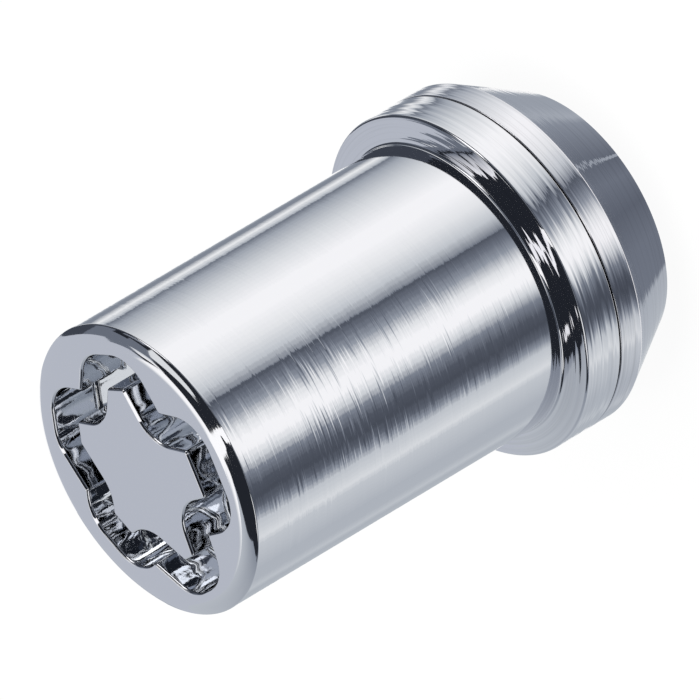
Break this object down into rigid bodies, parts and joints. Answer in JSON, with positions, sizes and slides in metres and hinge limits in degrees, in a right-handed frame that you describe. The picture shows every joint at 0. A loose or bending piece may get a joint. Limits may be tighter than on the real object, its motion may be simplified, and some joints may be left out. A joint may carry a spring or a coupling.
{
  "type": "locking wheel nut",
  "caption": "Round closed-end locking wheel nut with a wavy key groove in its end face, a flange, a blind stud thread and a free-turning captive cone-seat washer.",
  "frame": {"origin": "on the thread axis, at the washer's small end, where the nut stands", "axes": "+Z along the thread axis towards the key face; X and Y are set by the key groove, and the camera of the picture looks along +Y"},
  "size_m": [0.026, 0.026, 0.04],
  "materials": {
    "nut_chrome": "bright chrome plate over turned steel, fine turning lines round the shank",
    "washer_chrome": "bright chrome plate over turned steel, a little duller on the cone"
  },
  "bodies": {
    "nut": {"nut_body": "nut_chrome"},
    "washer": {"seat_washer": "washer_chrome"}
  },
  "joints": [
    {"name": "washer_spin", "type": "hinge", "parent": "nut", "child": "washer", "pos_m": [0, 0, 0.004], "axis": [0, 0, 1], "continuous": true}
  ]
}
